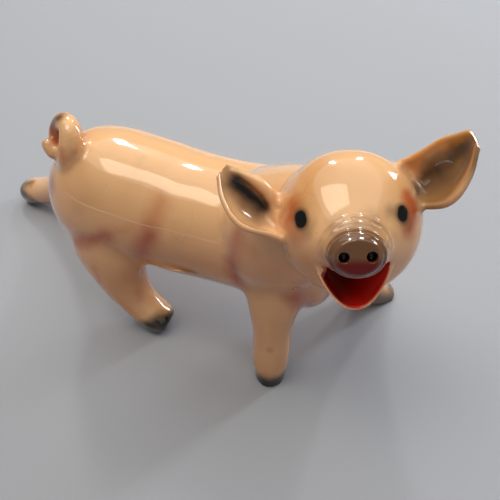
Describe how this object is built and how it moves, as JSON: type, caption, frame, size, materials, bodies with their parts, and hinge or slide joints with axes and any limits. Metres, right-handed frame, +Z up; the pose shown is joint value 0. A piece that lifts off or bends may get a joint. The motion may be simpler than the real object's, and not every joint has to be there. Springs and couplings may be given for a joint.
{
  "type": "pig figurine",
  "caption": "Glazed pottery piglet that strides on splayed legs, looks up over its right shoulder with an open mouth, and has cupped ears and a curled tail.",
  "frame": {"origin": "middle of the outline's box, on the surface that the hooves stand on", "axes": "+X the way the torso faces, +Y the piglet's left, +Z up"},
  "size_m": [0.1384, 0.0547, 0.0817],
  "materials": {
    "glazed_pottery": "high gloss clear glaze over cream pottery"
  },
  "bodies": {
    "root": {"torso": "glazed_pottery", "head": "glazed_pottery", "ear_left": "glazed_pottery", "ear_right": "glazed_pottery", "tail": "glazed_pottery", "leg_front_right": "glazed_pottery", "leg_front_left": "glazed_pottery", "leg_rear_right": "glazed_pottery", "leg_rear_left": "glazed_pottery"}
  },
  "joints": []
}
